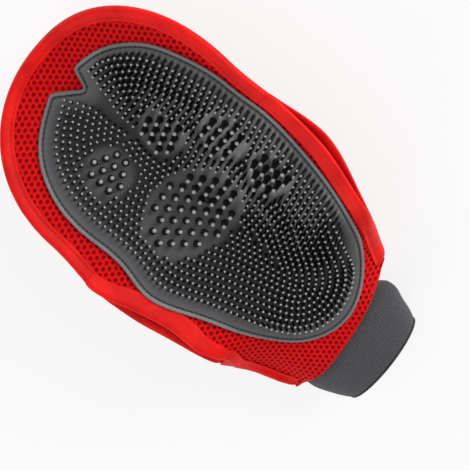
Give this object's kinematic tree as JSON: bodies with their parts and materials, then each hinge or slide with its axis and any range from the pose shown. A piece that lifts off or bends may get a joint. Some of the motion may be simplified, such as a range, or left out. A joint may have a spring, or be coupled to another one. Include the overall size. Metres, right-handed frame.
{
  "type": "pet grooming glove",
  "caption": "Cupped mesh mitt with a rubber pad of fine bristles and coarse nubs, taped thumb slots at both sides and an elastic cuff.",
  "frame": {"origin": "centre of the glove's bounding box, at its bottom, where the back panel rests", "axes": "+Z out of the bristle pad, +Y to the fingertips, +X to the right with the fingers pointing up and the pad facing the viewer"},
  "size_m": [0.1474, 0.27, 0.0731],
  "materials": {
    "air_mesh": "red knitted air mesh",
    "satin_tape": "red satin binding tape",
    "lining": "dark red tricot",
    "pad_rubber": "satin charcoal rubber",
    "bristle_rubber": "satin charcoal rubber with lighter worn tips",
    "pad_thread": "charcoal sewing thread",
    "red_thread": "red sewing thread",
    "cuff_elastic": "dark grey ribbed elastic knit",
    "cuff_edge": "near-black overlocked edge"
  },
  "bodies": {
    "mitt": {"palm_mesh": "air_mesh", "palm_lining": "lining", "back_mesh": "air_mesh", "back_lining": "lining", "rim_binding": "satin_tape", "left_side_binding": "satin_tape", "right_side_binding": "satin_tape", "left_front_lip": "satin_tape", "right_front_lip": "satin_tape", "left_back_lip": "satin_tape", "right_back_lip": "satin_tape", "bristle_pad": "pad_rubber", "fine_bristles": "bristle_rubber", "coarse_nubs": "bristle_rubber", "pad_stitching": "pad_thread", "rim_stitching": "red_thread", "mouth_stitching": "red_thread", "wrist_seam": "lining"},
    "cuff": {"elastic_cuff": "cuff_elastic", "cuff_hem": "cuff_edge", "cuff_seam_stitching": "pad_thread"}
  },
  "joints": [
    {"name": "cuff_flex", "type": "hinge", "parent": "mitt", "child": "cuff", "pos_m": [-0.007, -0.10101, 0.0194], "axis": [1, 0, 0], "range_deg": [-12, 12], "stiffness_Nm_per_rad": 0.1, "deforming": ["wrist_seam"]}
  ]
}
